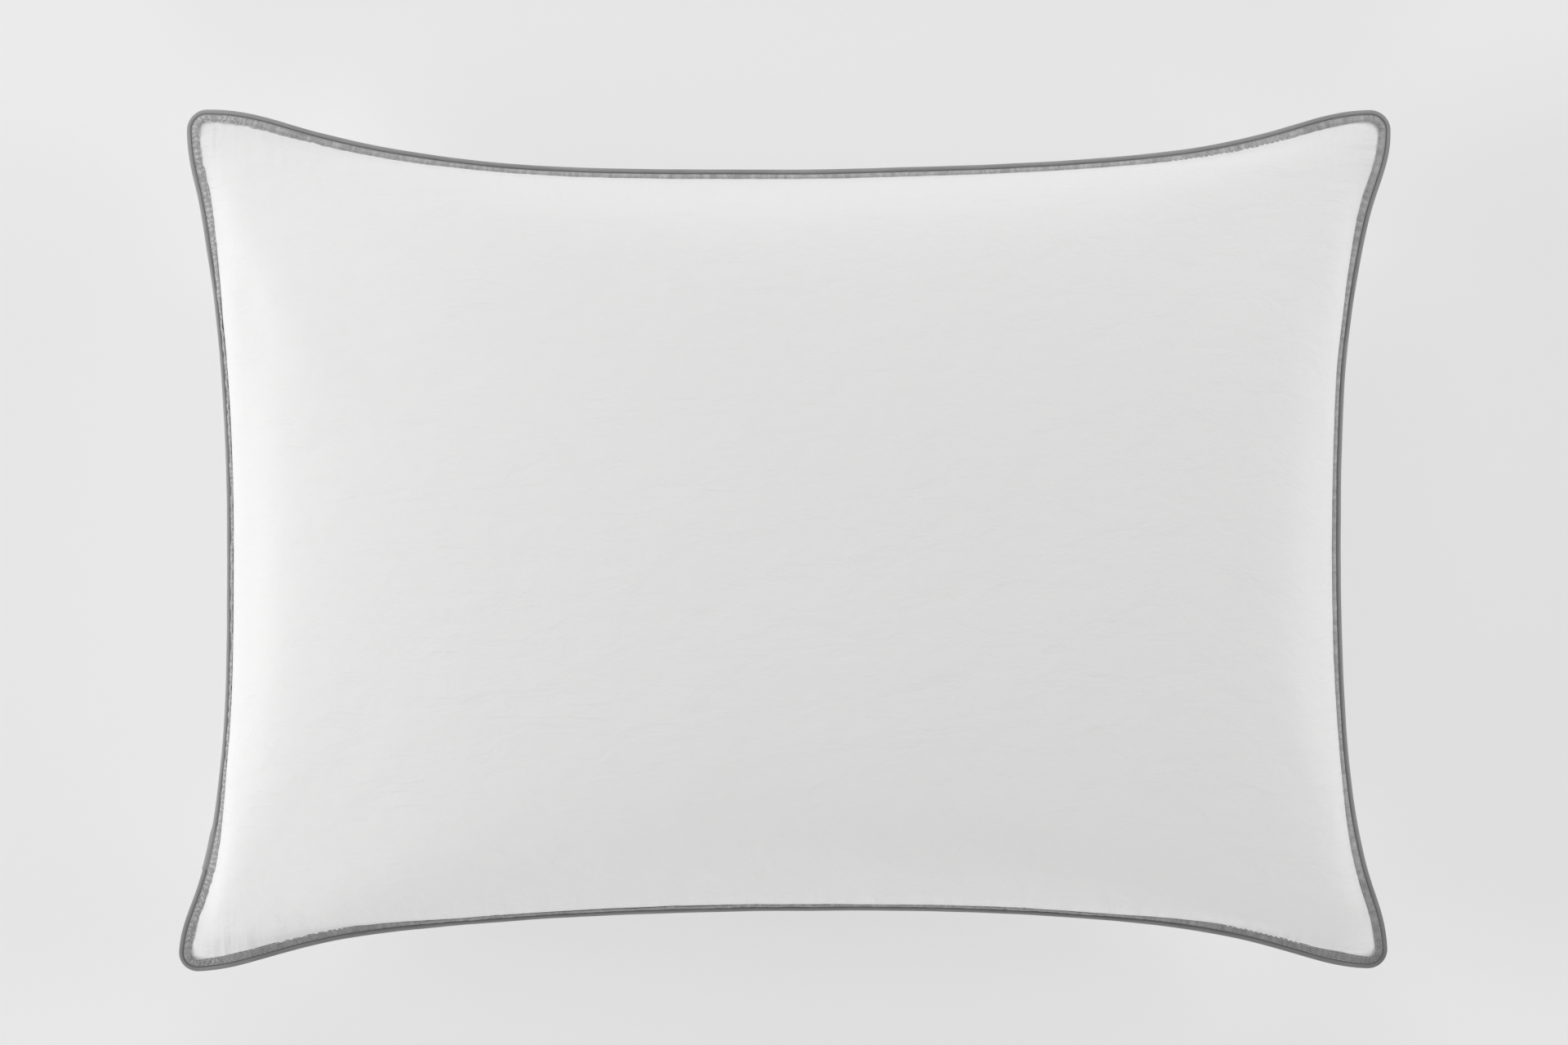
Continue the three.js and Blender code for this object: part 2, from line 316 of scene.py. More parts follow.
def clothStrip(alongSteps, acrossSteps, size, place, acrossAt=None, closed=False):
    # a flat strip of cloth bent into place; its UV map keeps where each point lay on the flat strip
    acrossAt = acrossAt or [size[1] * i / acrossSteps for i in range(acrossSteps + 1)]
    bm = bmesh.new()
    bmesh.ops.create_grid(bm, x_segments=alongSteps, y_segments=acrossSteps, size=0.5)
    uv = bm.loops.layers.uv.new("cloth")
    for face in bm.faces:
        for loop in face.loops:
            across = round((loop.vert.co.y + 0.5) * acrossSteps)
            loop[uv].uv = ((loop.vert.co.x + 0.5) * size[0], acrossAt[across])
    for vert in bm.verts:
        vert.co = place((vert.co.x + 0.5) * alongSteps, (vert.co.y + 0.5) * acrossSteps)
    if closed:
        bmesh.ops.remove_doubles(bm, verts=bm.verts, dist=1e-6)
    bmesh.ops.recalc_face_normals(bm, faces=bm.faces)
    return bm


def thicken(piece, thickness, offset=-1.0):
    wall = piece.modifiers.new("thickness", "SOLIDIFY")
    wall.thickness = thickness
    wall.offset = offset
    return wall


def smoothed(piece, levels=1):
    rounding = piece.modifiers.new("rounding", "SUBSURF")
    rounding.levels = levels
    rounding.render_levels = levels
    return rounding


tape = {
    "rollRadius": 1.2 * mm,
    # places across the band from its hem to the groove beside the piping, and how high each lies
    "band": [
        (7.4, 1.1), (7.0, 1.18), (6.4, 1.05), (5.8, 1.16), (5.0, 1.16),
        (4.2, 1.04), (3.6, 0.92), (3.1, 0.78), (2.7, 0.6),
    ],
    "rollReach": math.radians(146),
    "rollSteps": 10,
    "rollWander": 0.04,
    "cordRow": 3.3 * mm,  # the two rows of stitches, from the outside of the piping
    "hemRow": 6.4 * mm,
    "pucker": 0.7 * mm,
    "ripples": [(330, 170, 0, 1), (150, 90, 5, 0.7)],  # to the metre along and across, shift, share
    "rowHold": 0.9 * mm,  # how far a row of stitches and the groove hold the band flat
    "grooveHold": 0.6 * mm,
    "dimple": 0.22 * mm,  # how far a stitch pulls the tape in at its holes
    "dimpleReach": 0.6 * mm,
    "lap": 14,  # stations that the end of the tape laps over its start
    "lapRise": 0.5 * mm,
    "lapRamp": 3,  # stations over which the end climbs
    "thickness": 0.36 * mm,
    "hemWander": 0.35 * mm,
    # where a side is plump its panel stands steep beside the tape and tips the band up
    "tip": {
        "far": math.radians(38), "near": math.radians(66),
        "left": math.radians(64), "right": math.radians(46),
    },
    "tipEnds": (0.5, 0.86),  # shares of a half side between which the tip dies out towards the corner
    "cornerTip": math.radians(20),  # round the corner itself the band stands up again
    "cornerFrom": (0.93, 0.98),
    "tipFrom": 2.7 * mm,
    "tipBlend": 1.5 * mm,
    # bumps of the hem along the -Y side: where, and how high
    "hemBumps": [(-249, 1.1), (-168, 0.9), (-63, 0.6), (-15, 1.0), (33, 1.2), (95, 0.6), (140, 0.9)],
    "bumpLength": 20 * mm,
    "bumpBack": 0.3,  # its steep end, as a share of its length
    "bumpLift": 1.7,  # how far a bump rises over the panel for each mm that it stands out
}
thread = {"radius": 0.22 * mm, "flatness": 0.8, "lift": 0.16 * mm, "dive": 0.48 * mm, "steps": 4, "sides": 6}
cordTwist = {"lay": 5.5 * mm, "lobes": 3, "depth": 0.14, "sides": 12, "fill": 0.98}
tapeWidth = tape["band"][0][0] * mm


def puckerAt(point):
    # how strongly the band is gathered: most along the -X side
    side = max(0.0, -point.x / halfLength)
    return 0.3 + 0.7 * side**4 + 0.5 * max(0.0, noise.noise(point * 12))


def bandHeight(inset):
    # height of the flat band over the seam plane, without its puckers
    width = inset / mm
    band = tape["band"]
    for (outer, high), (inner, low) in zip(band, band[1:]):
        if width >= inner:
            share = min(1.0, (width - inner) / (outer - inner))
            return (low + (high - low) * share) * mm
    return band[-1][1] * mm


def tipAt(point):
    # how steeply the band is tipped up beside a point of the edge
    u, v = abs(point.x) / halfLength, abs(point.y) / halfWidth
    if u > v:
        side = "right" if point.x > 0 else "left"
    else:
        side = "far" if point.y > 0 else "near"
    rest = 1 - softStep(min(u, v), *tape["tipEnds"])
    return tape["tip"][side] * rest + tape["cornerTip"] * softStep(min(u, v), *tape["cornerFrom"])


def tipped(point, inset, height):
    # a place on the band, turned up about the groove beside the piping
    angle, run = tipAt(point), max(0.0, inset - tape["tipFrom"])
    if run == 0:
        return inset, height
    blend = min(1.0, run / tape["tipBlend"])
    return (
        tape["tipFrom"] + run * math.cos(angle) - height * math.sin(angle) * blend,
        height * math.cos(angle) + run * math.sin(angle),
    )


def bandRise(place, inset):
    # height of the band over the seam plane with its puckers and stitch holes
    point = linePoint(place)
    rows = min(abs(inset - tape["cordRow"]), abs(inset - tape["hemRow"]))
    loose = min(1.0, rows / tape["rowHold"])
    loose *= min(1.0, max(0.0, (inset - tape["tipFrom"]) / tape["grooveHold"]))
    ripple = sum(
        share * noise.noise(Vector((point.x * along, point.y * along, inset * across + shift)))
        for along, across, shift, share in tape["ripples"]
    )
    hole = math.cos(math.pi * place / 2) ** 8
    dip = tape["dimple"] * hole * max(0.0, 1 - rows / tape["dimpleReach"])
    return bandHeight(inset) + ripple * tape["pucker"] * puckerAt(point) * loose - dip


def hemStand(point, side):
    # how far the hem stands out over the panel
    stand = noise.noise(Vector((point.x * 45, point.y * 45, side * 4.0))) * tape["hemWander"]
    if side > 0 and point.y < 0:
        for x, height in tape["hemBumps"]:
            along = (x * mm - point.x) / tape["bumpLength"]
            if -tape["bumpBack"] < along < 1:
                stand += height * mm * (1 - along if along > 0 else 1 + along / tape["bumpBack"]) ** 1.3
    return stand


def tapeSection():
    # places across the tape from the front hem to the back hem: (inset, angle round the piping or None)
    front = [(width * mm, None) for width, _ in tape["band"]]
    steps = tape["rollSteps"]
    roll = [(None, tape["rollReach"] * (1 - 2 * i / steps)) for i in range(steps + 1)]
    return front + roll + front[::-1]


def acrossTape(shape):
    # how far along the cloth each place of the section lies from the front hem
    radius, middle = tape["rollRadius"], len(shape) // 2
    flat = []
    for i, (inset, angle) in enumerate(shape):
        side = 1 if i <= middle else -1
        if angle is None:
            flat.append(Vector((inset, side * bandHeight(inset))))
        else:
            flat.append(Vector((radius - radius * math.cos(angle), radius * math.sin(angle))))
    places = [0.0]
    for a, b in zip(flat, flat[1:]):
        places.append(places[-1] + (b - a).length)
    return places


tapeShape = tapeSection()
tapeAcross = acrossTape(tapeShape)


def tapePoint(place, across):
    inset, angle = tapeShape[int(round(across))]
    point, out = stationFrame(place)
    side = 1 if across < len(tapeShape) / 2 else -1
    lap = max(0.0, min(1.0, (place - stationCount) / tape["lapRamp"] + 1))
    rise = tape["lapRise"] * lap
    if angle is None:
        loose = max(0.0, inset - tape["hemRow"]) / (tapeWidth - tape["hemRow"])
        inset, height = tipped(point, inset, bandRise(place, inset) + rise)
        stand = hemStand(point, side) * loose
        inset, height = inset + stand, side * (height + max(0.0, stand) * tape["bumpLift"])
    else:
        stray = tape["rollWander"] * noise.noise(Vector((point.x * 90, point.y * 90, angle)))
        radius = tape["rollRadius"] * (1 + stray) + rise
        inset = tape["rollRadius"] - radius * math.cos(angle)
        height = radius * math.sin(angle)
    return point - out * inset + Vector((0, 0, seamHeight + height))


def makeTape(material):
    total = stationCount + tape["lap"]
    size = (total * stationStep, tapeAcross[-1])
    bm = clothStrip(total, len(tapeShape) - 1, size, tapePoint, tapeAcross)
    if sum(f.normal.z * (f.calc_center_median().z - seamHeight) for f in bm.faces) < 0:
        bmesh.ops.reverse_faces(bm, faces=bm.faces)
    piece = finishPiece(bm, "edgeTape", material)
    thicken(piece, tape["thickness"])
    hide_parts("edge_binding")
    print("tape", len(piece.data.polygons), "faces")
    return piece


def makeCord(material):
    # lobes twisted together that fill the piping
    body = min(cordRadius, tape["rollRadius"] - tape["thickness"]) * cordTwist["fill"]
    turns = round(edgeLength / cordTwist["lay"])

    def place(along, around):
        at = along % stationCount
        angle = 2 * math.pi * (around % cordTwist["sides"]) / cordTwist["sides"]
        twist = 2 * math.pi * turns * at / stationCount
        valley = 1 - abs(math.cos(cordTwist["lobes"] * (angle - twist) / 2))
        radius = body * (1 - cordTwist["depth"] * valley)
        point, out = stationFrame(at)
        inset = tape["rollRadius"] - radius * math.cos(angle)
        return point - out * inset + Vector((0, 0, seamHeight + radius * math.sin(angle)))

    size = (edgeLength, 2 * math.pi * body)
    bm = clothStrip(stationCount, cordTwist["sides"], size, place, closed=True)
    piece = finishPiece(bm, "twistedCord", material)
    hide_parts("piping_cord")
    return piece


def makeStitchRow(name, node, inset, side, material):
    # one thread of a row: it lies on the tape between its holes and dives at each of them
    steps = stationCount * thread["steps"] // 2

    def place(along, around):
        at = (along % steps) * 2 / thread["steps"]
        angle = 2 * math.pi * (around % thread["sides"]) / thread["sides"]
        dive = math.cos(math.pi * at / 2) ** 6
        onLap = at < tape["lap"] or at > stationCount - tape["lapRamp"]
        top = bandRise(at, inset) + onLap * tape["lapRise"] + thread["lift"] - dive * thread["dive"]
        point, out = stationFrame(at)
        over = thread["radius"] * thread["flatness"] * math.sin(angle)
        beside = thread["radius"] * math.cos(angle)
        reach, height = tipped(point, inset - beside, top + over)
        return point - out * reach + Vector((0, 0, seamHeight + side * height))

    size = (edgeLength, 2 * math.pi * thread["radius"])
    bm = clothStrip(steps, thread["sides"], size, place, closed=True)
    piece = finishPiece(bm, name, material)
    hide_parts(node)
    return piece


shell = {
    "grid": 6 * mm,
    "rimInset": 7.7 * mm,  # where the panels leave the tape
    "flangeInset": 2.9 * mm,  # how far they reach into it
    "rimPoints": 200,
    "rimEase": 34 * mm,  # how far from the tape the panels follow its tip
    "gather": 0.35 * mm,  # how high the small folds stand that run in from the seams
    "gatherReach": 38 * mm,
    "gatherWaves": 95,  # to the metre along the seam
    "ease": 1.006,  # cut cloth over sewn edge
    "loft": 10 * mm,  # how far the middles stand apart before the panels are blown up
    "loftEdge": 1 * mm,
    "pressure": 62.0,
    "tension": 80.0,
    "shear": 8.0,
    "bending": 0.4,
    "drawInFrames": 12,
    "frames": 36,
    "sag": 3.4 * mm,  # how far the filling has slid towards -Y
    "sagFrom": 22 * mm,  # height off the seam from which it slides in full
    "thickness": 0.3 * mm,
    "lip": 0.4 * mm,  # the panels' outside over the seam plane where the tape holds them
    "smoothing": 9,  # passes that ease the creases out
    "fillingGap": 1.2 * mm,
}
tiny = 1e-6


def rimSides():
    # the panels' edge from the middle of a side to its corner, for the short and the long side
    quarter = quarterLine(shell["rimInset"])
    _, length = spread(quarter, 1)
    target = Vector((halfLength, halfWidth, 0))
    corner = min(range(len(quarter)), key=lambda i: (quarter[i] - target).length)
    return quarter[: corner + 1], quarter[corner:][::-1]


def flatPanels(shortSide, longSide):
    # two flat panels of the cut size, lying on each other and joined along their edges
    _, halfY = spread(shortSide, 1)
    _, halfX = spread(longSide, 1)
    cut = (2 * halfX * shell["ease"], 2 * halfY * shell["ease"])
    steps = [2 * round(side / shell["grid"] / 2) for side in cut]
    bm = bmesh.new()
    bmesh.ops.create_grid(bm, x_segments=steps[0], y_segments=steps[1], size=1)
    uv = bm.loops.layers.uv.new("cloth")
    for face in bm.faces:
        for loop in face.loops:
            loop[uv].uv = (loop.vert.co.x * cut[0] / 2, loop.vert.co.y * cut[1] / 2)
    for vert in bm.verts:
        u, v = vert.co.x, vert.co.y
        height = shell["loft"] * (1 - u * u) * (1 - v * v) + shell["loftEdge"]
        vert.co = (u * cut[0] / 2, v * cut[1] / 2, 0 if vert.is_boundary else height)
    whole = [*bm.verts, *bm.edges, *bm.faces]
    bmesh.ops.mirror(bm, geom=whole, matrix=Matrix(), merge_dist=10 * tiny, axis="Z")
    bmesh.ops.recalc_face_normals(bm, faces=bm.faces)
    for face in bm.faces:
        face.material_index = 0 if face.calc_center_median().z > 0 else 1
    return bm, cut


def drawnRim(x, y, cut, sides):
    # where a point of the flat panels' edge is sewn on the edge line
    u, v = 2 * x / cut[0], 2 * y / cut[1]
    points, share = (sides[0], abs(v)) if abs(u) > 1 - tiny else (sides[1], abs(u))
    step = share * (len(points) - 1)
    i = min(int(step), len(points) - 2)
    point = points[i].lerp(points[i + 1], step - i)
    return unevened(Vector((math.copysign(point.x, x), math.copysign(point.y, y), 0)))


def blowUp(bag, rim):
    # presses the filling against the cloth while the edge is held on the edge line
    bag.shape_key_add(name="cut")
    drawn = bag.shape_key_add(name="drawn in")
    for index, point in rim.items():
        drawn.data[index].co = point
    drawn.value = 0
    drawn.keyframe_insert("value", frame=1)
    drawn.value = 1
    drawn.keyframe_insert("value", frame=shell["drawInFrames"])
    held = bag.vertex_groups.new(name="held")
    held.add(list(rim), 1, "REPLACE")

    bpy.ops.mesh.primitive_plane_add(size=2, location=(0, 0, -seamHeight))
    table = bpy.context.object
    table.modifiers.new("table", "COLLISION")
    table.collision.thickness_outer = 1 * mm
    table.collision.cloth_friction = 5

    cloth = bag.modifiers.new("cloth", "CLOTH")
    weave = cloth.settings
    weave.quality = 8
    weave.mass = 0.3
    weave.tension_stiffness = weave.compression_stiffness = shell["tension"]
    weave.shear_stiffness = shell["shear"]
    weave.bending_stiffness = shell["bending"]
    weave.use_pressure = True
    weave.uniform_pressure_force = shell["pressure"]
    weave.vertex_group_mass = "held"
    weave.effector_weights.gravity = 0
    cloth.collision_settings.distance_min = 1 * mm
    cloth.point_cache.frame_end = shell["frames"]
    for at in range(1, shell["frames"] + 1):
        bpy.context.scene.frame_set(at)
    settled = bag.evaluated_get(bpy.context.evaluated_depsgraph_get()).to_mesh()
    points = [v.co.copy() for v in settled.vertices]
    bpy.context.scene.frame_set(1)
    bpy.data.objects.remove(table)
    return points


def makeBag():
    sides = [spread(side, shell["rimPoints"])[0] for side in rimSides()]
    bm, cut = flatPanels(*sides)
    rim = {v.index: drawnRim(v.co.x, v.co.y, cut, sides) for v in bm.verts if abs(v.co.z) < tiny}
    mesh = bpy.data.meshes.new("bag")
    bm.to_mesh(mesh)
    bm.free()
    bag = bpy.data.objects.new("bag", mesh)
    bpy.context.scene.collection.objects.link(bag)
    points = blowUp(bag, rim)
    plain = mesh.copy()
    bpy.data.objects.remove(bag)
    bm = bmesh.new()
    bm.from_mesh(plain)
    for vert in bm.verts:
        vert.co = rim.get(vert.index, points[vert.index])
    loose = [v for v in bm.verts if v.index not in rim]
    axes = {"use_axis_x": True, "use_axis_y": True, "use_axis_z": True}
    for _ in range(shell["smoothing"]):
        bmesh.ops.smooth_vert(bm, verts=loose, factor=0.5, **axes)
    bm.to_mesh(plain)
    bm.free()
    heights = [p.z for p in points]
    print("bag of", len(plain.polygons), "faces, cut", [round(c, 4) for c in cut])
    print("crown", round(max(heights), 4), "belly", round(min(heights), 4))
    return plain, cut


def settle(point):
    # the filling slides a little towards -Y, most where it stands high off the seam
    height = min(1.0, abs(point.z) / shell["sagFrom"])
    lower = 0.5 - 0.5 * point.y / halfWidth
    return point + Vector((0, -shell["sag"] * height * (0.35 + 0.65 * lower), 0))


def followTape(bm, rim, flange, side):
    # lifts a panel's edge into the tipped band, eases the cloth beside it, and gathers it there
    near = KDTree(len(rim))
    steps = []
    for i, vert in enumerate(rim):
        near.insert(vert.co, i)
        reach, height = tipped(vert.co, shell["rimInset"], shell["lip"])
        steps.append(nearestOut(vert.co) * (shell["rimInset"] - reach) + Vector((0, 0, side * height)))
    near.balance()
    bm.normal_update()
    held = set(rim) | set(flange)
    for vert in bm.verts:
        if vert in held:
            continue
        _, i, away = near.find(vert.co)
        if away < shell["rimEase"]:
            vert.co += steps[i] * (1 - softStep(away, 0, shell["rimEase"]))
        fold = 1 - softStep(away, 0.3 * shell["gatherReach"], shell["gatherReach"])
        if fold > 0:
            at = rim[i].co
            waves = shell["gatherWaves"]
            height = noise.noise(Vector((at.x * waves, at.y * waves, side * 3.0 + away * 14)))
            vert.co += vert.normal * height * fold * shell["gather"]
    for vert in flange:
        reach, height = tipped(vert.co, shell["flangeInset"], shell["lip"])
        vert.co += nearestOut(vert.co) * (shell["rimInset"] - reach)
        vert.co.z = side * height
    for vert, step in zip(rim, steps):
        vert.co += step


def makePanel(bag, side, name, node, material):
    bm = bmesh.new()
    bm.from_mesh(bag)
    other = [f for f in bm.faces if f.material_index != (0 if side > 0 else 1)]
    bmesh.ops.delete(bm, geom=other, context="FACES")
    for face in bm.faces:
        face.material_index = 0  # the piece has one material
    rimEdges = [e for e in bm.edges if e.is_boundary]
    for vert in bm.verts:
        if not vert.is_boundary:
            vert.co = settle(vert.co)
    rim = list({v for e in rimEdges for v in e.verts})
    made = bmesh.ops.extrude_edge_only(bm, edges=rimEdges)
    flange = [v for v in made["geom"] if isinstance(v, bmesh.types.BMVert)]
    followTape(bm, rim, flange, side)
    for vert in bm.verts:
        vert.co.z += seamHeight
    bmesh.ops.recalc_face_normals(bm, faces=bm.faces)
    if sum(f.normal.z for f in bm.faces) * side < 0:
        bmesh.ops.reverse_faces(bm, faces=bm.faces)
    piece = finishPiece(bm, name, material)
    smoothed(piece)
    thicken(piece, shell["thickness"])
    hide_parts(node)
    print(name, len(piece.data.polygons), "faces")
    return piece


def nearestOut(point):
    # the way out at the station nearest to a point
    best = min(range(stationCount), key=lambda i: (stations[i].xy - point.xy).length_squared)
    return outOf((station(best + 1) - station(best - 1)).normalized())


def makeFilling(bag, material):
    bm = bmesh.new()
    bm.from_mesh(bag)
    for vert in bm.verts:
        vert.co = settle(vert.co)
        vert.co.z += seamHeight
    bm.normal_update()
    for vert in bm.verts:
        vert.co -= vert.normal * shell["fillingGap"]
    for face in bm.faces:
        face.material_index = 0
    piece = finishPiece(bm, "fibreFilling", material)
    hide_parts("filling")
    return piece


def cottonFinish(cut):
    f = Finish("white cotton percale")
    threads = f.weave(0.42 * mm)
    slubs = f.cloud(f.clothPlace((60, 1100, 1)), detail=2.0)
    slubs = slubs + f.cloud(f.clothPlace((1100, 60, 1)), detail=2.0)
    # small gathers that run in from the seams
    x, y, _ = f.clothPlace().parts()
    reach, fade = 42 * mm, 1.4
    nearShort = abs(x).between(cut[0] / 2 - reach, cut[0] / 2) ** fade
    nearLong = abs(y).between(cut[1] / 2 - reach, cut[1] / 2) ** fade
    gathers = f.cloud(f.clothPlace((16, 105, 1)), detail=2.0) * nearShort
    gathers = gathers + f.cloud(f.clothPlace((105, 16, 1)), detail=2.0) * nearLong
    # a few short creases, most towards -X
    wander = f.cloud(f.clothPlace((20, 75, 1), 0.25), detail=1.0)
    line = 1 - (abs(wander - 0.5) * 16).between(0, 1)
    rare = f.cloud(f.clothPlace((24, 24, 1)), detail=1.0).between(0.5, 0.66)
    creases = line * rare * (0.25 - x).between(0, 0.45)
    soft = f.cloud(f.clothPlace((34, 62, 1), 0.25), detail=5.0, roughness=0.62, distortion=0.4)
    normal = f.bump(soft, 1.7 * mm, 0.75)
    normal = f.bump(gathers, 2.6 * mm, 0.8, normal)
    normal = f.bump(creases, 0.35 * mm, 0.5, normal)
    normal = f.bump(threads * 0.6 + slubs * 0.5, 0.05 * mm, 0.45, normal)
    shade = f.cloud(f.clothPlace((9, 9, 1)), detail=4.0)
    colour = f.mixed(shade * 0.6 + slubs * 0.2, (0.91, 0.91, 0.907), (0.945, 0.945, 0.943))
    return f.surface({
        "Base Color": colour, "Roughness": 0.76 + slubs * 0.06, "Normal": normal,
        "Sheen Weight": 0.1, "Sheen Roughness": 0.5, "Specular IOR Level": 0.25,
    })


def tapeFinish():
    f = Finish("grey bias tape")
    threads = f.weave(0.5 * mm, math.radians(45))
    slubs = f.cloud(f.clothPlace((420, 90, 1), math.radians(45)), detail=2.0)
    x, y, _ = f.clothPlace().parts()
    fromFold = abs(y - tapeAcross[-1] / 2)
    grooveAt = tapeAcross[-1] / 2 - tapeAcross[len(tape["band"]) - 1]
    # painted shade: the base colour is darkened along the groove beside the piping
    paintedGrooveShade = 1 - (abs(fromFold - grooveAt) / (0.55 * mm)).between(0.2, 1)
    # painted light and shade of the gathered band: lighter on its ridges, darker in its folds; the same mask
    # also bumps it
    gatherShadingMask = f.cloud(f.clothPlace((300, 95, 1), 0.3), detail=3.0, roughness=0.65).between(0.36, 0.66)
    # along the -X side the gathers lie across the band like the rungs of a ladder, painted as light and dark
    # rungs
    placeX, placeY, _ = f.node("ShaderNodeTexCoord", {}, {}, 3).parts()
    ladder = (0 - placeX).between(0.3, 0.325)
    stray = f.cloud(f.clothPlace((110, 300, 1)), detail=2.0)
    rungPitch = 3.2 * mm
    rungs = ((x * (1 / rungPitch) + stray * 3.0) * (2 * math.pi)).maths("SINE").between(-0.5, 0.7)
    rungs = rungs * f.cloud(f.clothPlace((190, 190, 1)), detail=2.0).between(0.3, 0.55)
    gatherShadingMask = gatherShadingMask * (1 - ladder * 0.75) + rungs * ladder
    gatherShadingMask = gatherShadingMask * fromFold.between(grooveAt, grooveAt + 0.8 * mm)
    cloudy = f.cloud(f.clothPlace((35, 60, 1)), detail=3.0)
    # painted shade: the tape is darker along the -Y side and a little along +X, and a little lighter along
    # the -X side, where light falls
    paintedSideShade = (0 - placeY).between(0.19, 0.24) * 0.26 + placeX.between(0.3, 0.34) * 0.05 - ladder * 0.08
    lightness = 0.26 + gatherShadingMask * (0.5 - paintedSideShade) + cloudy * 0.3 + threads * 0.05 - paintedGrooveShade * 0.5 - paintedSideShade
    colour = f.mixed(lightness.between(0, 1), (0.16, 0.16, 0.162), (0.58, 0.58, 0.582))
    normal = f.bump(gatherShadingMask, 0.2 * mm, 0.7)
    normal = f.bump(threads * 0.7 + slubs, 0.07 * mm, 0.6, normal)
    return f.surface({
        "Base Color": colour, "Roughness": 0.6 + slubs * 0.12, "Normal": normal,
        "Sheen Weight": 0.2, "Sheen Roughness": 0.4, "Specular IOR Level": 0.35,
    })


def threadFinish():
    f = Finish("grey sewing thread")
    ply = f.bands(f.clothPlace(turn=0.5), 700.0)
    return f.surface({
        "Base Color": f.mixed(ply, (0.30, 0.30, 0.302), (0.52, 0.52, 0.522)),
        "Roughness": 0.5 + ply * 0.1, "Normal": f.bump(ply, 0.05 * mm, 0.7), "Sheen Weight": 0.2,
    })


def cordFinish():
    f = Finish("unbleached cotton cord")
    ply = f.bands(f.clothPlace(turn=0.7), 420.0, 1.5)
    return f.surface({
        "Base Color": f.mixed(ply, (0.70, 0.66, 0.58), (0.87, 0.84, 0.78)),
        "Roughness": 0.9, "Normal": f.bump(ply, 0.1 * mm, 0.7),
    })


def fibreFinish():
    f = Finish("white polyester fibre")
    place = f.node("ShaderNodeTexCoord", {}, {}, 3)
    tufts = f.cloud(place, 60.0, 6.0, 0.7)
    hairs = f.cloud(place, 500.0, 4.0, distortion=3.0)
    normal = f.bump(hairs, 0.4 * mm, 0.6, f.bump(tufts, 2 * mm, 0.6))
    return f.surface({
        "Base Color": f.mixed(tufts, (0.86, 0.86, 0.86), (0.97, 0.97, 0.97)),
        "Roughness": 0.95, "Normal": normal, "Sheen Weight": 0.3,
    })


def satinFinish():
    f = Finish("blank white satin")
    ribs = f.bands(f.clothPlace(), 900.0)
    return f.surface({
        "Base Color": f.mixed(ribs, (0.84, 0.84, 0.84), (0.92, 0.92, 0.92)),
        "Roughness": 0.38, "Normal": f.bump(ribs, 0.03 * mm, 0.5), "Sheen Weight": 0.2,
    })


label = {
    "length": 44 * mm,
    "tuck": 1.6 * mm,
    "height": 0.57 * mm,  # of its middle over the seam plane, between the panel and the tape
    "clearance": 1.2 * mm,
    "lean": 0.12,  # how it leans in under the pillow
    "curl": 5 * mm,
    "drop": 0.97,  # how far it hangs down for each mm of its length
    "turn": 5 * mm,  # length over which it turns down at the hem
    "thickness": 0.22 * mm,
    "steps": (18, 6),
    "reach": 9 * mm,  # how far above and below it the panel is felt for
}


def makeLabel(panel, material):
    low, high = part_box("care_label")
    middle, width = (low[0] + high[0]) / 2, high[0] - low[0]
    points = [v.co for v in panel.data.vertices if abs(v.co.x - middle) < width * 0.6 and v.co.y < 0]
    seam = min((p for p in stations if p.y < 0), key=lambda p: abs(p.x - middle))

    def wall(depth):
        # how far out the back panel stands at a depth under the seam
        return min(p.y for p in points if abs(seamHeight - depth - p.z) < label["reach"])

    def underTape(inset):
        reach, height = tipped(seam, inset, label["height"])
        return Vector((0, seam.y + reach, seamHeight - height))

    hem = underTape(tapeWidth)

    def place(along, across):
        x = Vector((low[0] + width * across / label["steps"][1], 0, 0))
        walk = along / label["steps"][0] * (label["length"] + label["tuck"]) - label["tuck"]
        if walk < 0:
            return x + underTape(tapeWidth + walk)
        drop = walk * label["drop"]
        y = min(wall(seamHeight - hem.z + drop) - label["clearance"], hem.y + label["lean"] * drop)
        y += (hem.y - y) * (1 - softStep(walk, 0, label["turn"]))
        y -= label["curl"] * (walk / label["length"]) ** 2 * (1 + 0.3 * math.sin(x.x * 60))
        return x + Vector((0, y, hem.z - drop))

    bm = clothStrip(*label["steps"], (label["length"], width), place)
    piece = finishPiece(bm, "careLabel", material)
    smoothed(piece)
    thicken(piece, label["thickness"], 0)
    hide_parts("care_label")
    return piece


bag, cutSize = makeBag()
cotton = cottonFinish(cutSize)
greyTape = tapeFinish()
greyThread = threadFinish()
frontPanel = makePanel(bag, 1, "frontPanel", "front_panel", cotton)
backPanel = makePanel(bag, -1, "backPanel", "back_panel", cotton)
makeFilling(bag, fibreFinish())
makeTape(greyTape)
makeCord(cordFinish())
for name, node, inset, side in (
    ("cordRowNeedleThread", "cord_row_needle_thread", tape["cordRow"], 1),
    ("cordRowBobbinThread", "cord_row_bobbin_thread", tape["cordRow"], -1),
    ("hemRowNeedleThread", "hem_row_needle_thread", tape["hemRow"], 1),
    ("hemRowBobbinThread", "hem_row_bobbin_thread", tape["hemRow"], -1),
):
    makeStitchRow(name, node, inset, side, greyThread)
makeLabel(backPanel, satinFinish())
print("pieces made")


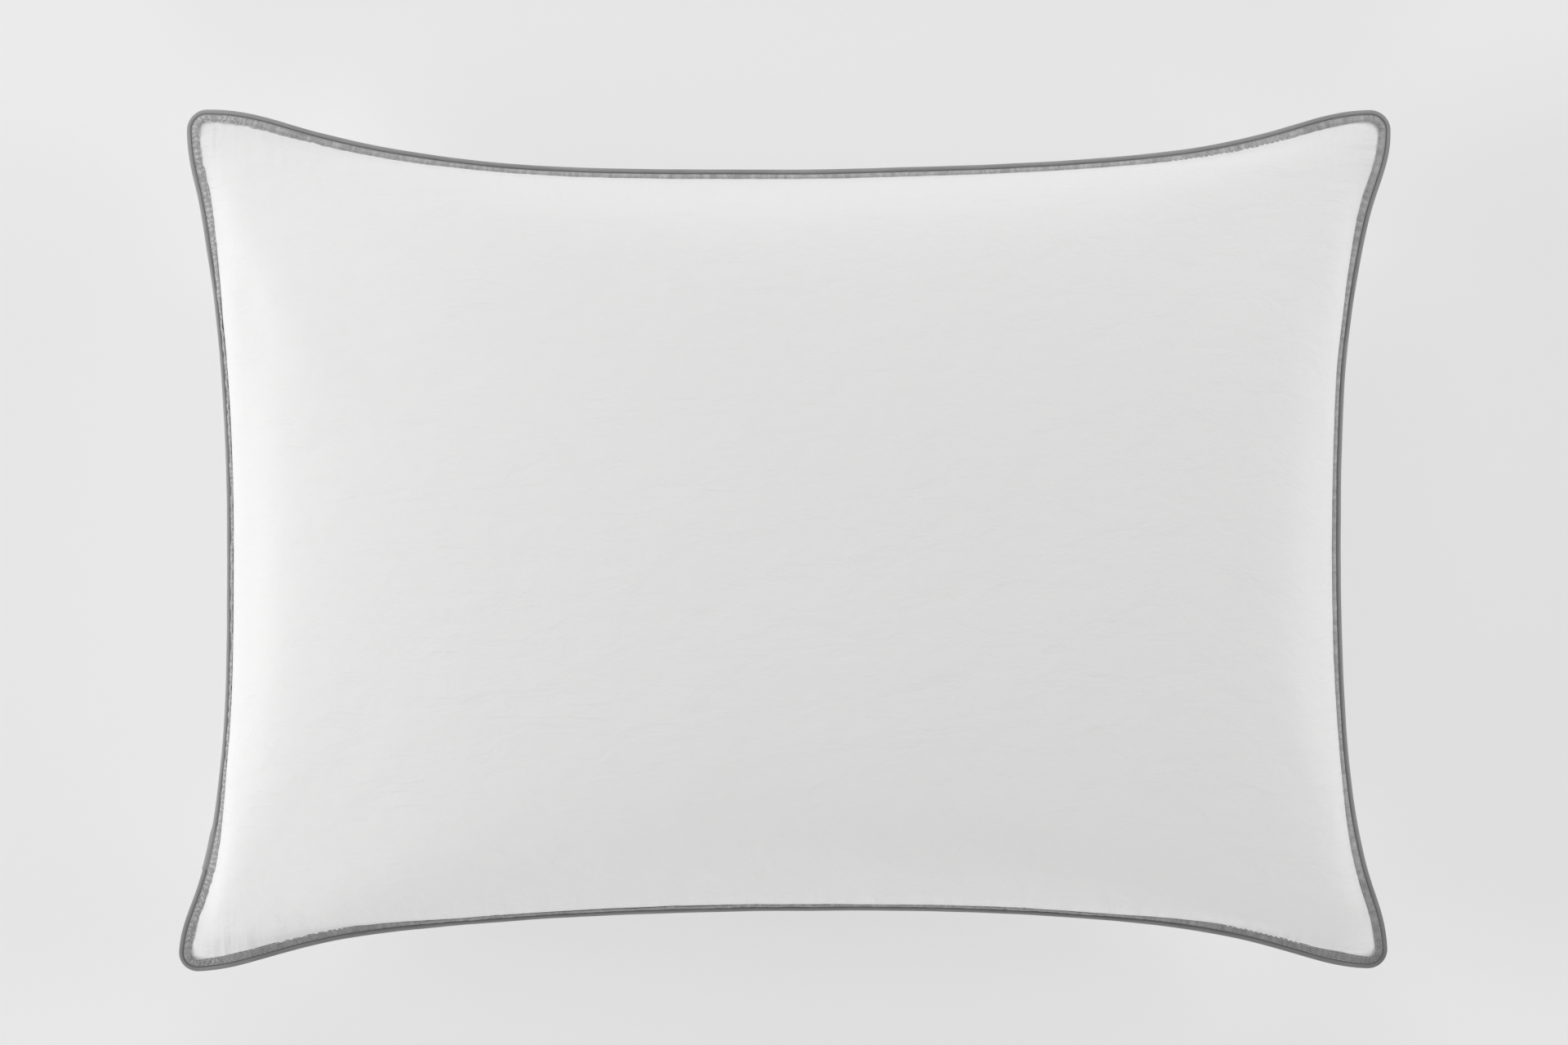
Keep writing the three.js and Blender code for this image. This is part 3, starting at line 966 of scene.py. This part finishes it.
studio = {
    "viewWidth": 917 * mm,  # what the camera sees across at the seam plane
    "distance": 3.0,
    "sensor": 36,
    "tilt": math.radians(1.5),
    "aim": (0.0, 10 * mm),
    "floorSize": 12,
    "floor": (0.5, 0.5, 0.5),
    "floorGlow": 0.378,  # a lit floor keeps the shadows faint
    "sky": 0.245,
    "lamps": {
        "left": {"at": (-2.3, -0.1, 1.1), "size": 1.6, "power": 31},
        "right": {"at": (2.3, 0.4, 1.1), "size": 1.6, "power": 23.5},
        "far": {"at": (-0.2, 2.3, 1.2), "size": 1.8, "power": 22.5},
        "near": {"at": (0.0, -2.3, 1.2), "size": 1.6, "power": 16},
    },
}


def makeStudio():
    bpy.ops.mesh.primitive_plane_add(size=studio["floorSize"])
    floor = bpy.context.object
    floor.name = "studioFloor"
    lit = {"Emission Color": (1, 1, 1, 1), "Emission Strength": studio["floorGlow"]}
    finish = Finish("pale floor").surface({"Base Color": (*studio["floor"], 1), "Roughness": 0.9, **lit})
    floor.data.materials.append(finish)
    world = bpy.data.worlds.new("studio")
    bpy.context.scene.world = world
    world.use_nodes = True
    sky = world.node_tree.nodes["Background"]
    sky.inputs["Color"].default_value = (1, 1, 1, 1)
    sky.inputs["Strength"].default_value = studio["sky"]
    for name, lamp in studio["lamps"].items():
        data = bpy.data.lights.new(name, "AREA")
        data.shape = "DISK"
        data.size = lamp["size"]
        data.energy = lamp["power"]
        light = bpy.data.objects.new(name, data)
        light.location = lamp["at"]
        toward = Vector((0, 0, seamHeight)) - light.location
        light.rotation_euler = toward.to_track_quat("-Z", "Y").to_euler()
        light.visible_camera = False
        bpy.context.scene.collection.objects.link(light)


def makeCamera():
    data = bpy.data.cameras.new("camera")
    data.sensor_width = studio["sensor"]
    data.lens = studio["sensor"] * studio["distance"] / studio["viewWidth"]
    camera = bpy.data.objects.new("camera", data)
    aimX, aimY = studio["aim"]
    tilt = studio["tilt"]
    camera.location = (
        aimX,
        aimY - studio["distance"] * math.sin(tilt),
        seamHeight + studio["distance"] * math.cos(tilt),
    )
    camera.rotation_euler = (tilt, 0, 0)
    bpy.context.scene.collection.objects.link(camera)
    bpy.context.scene.camera = camera


makeStudio()
makeCamera()
bpy.context.scene.view_settings.view_transform = "Standard"
print("studio ready")
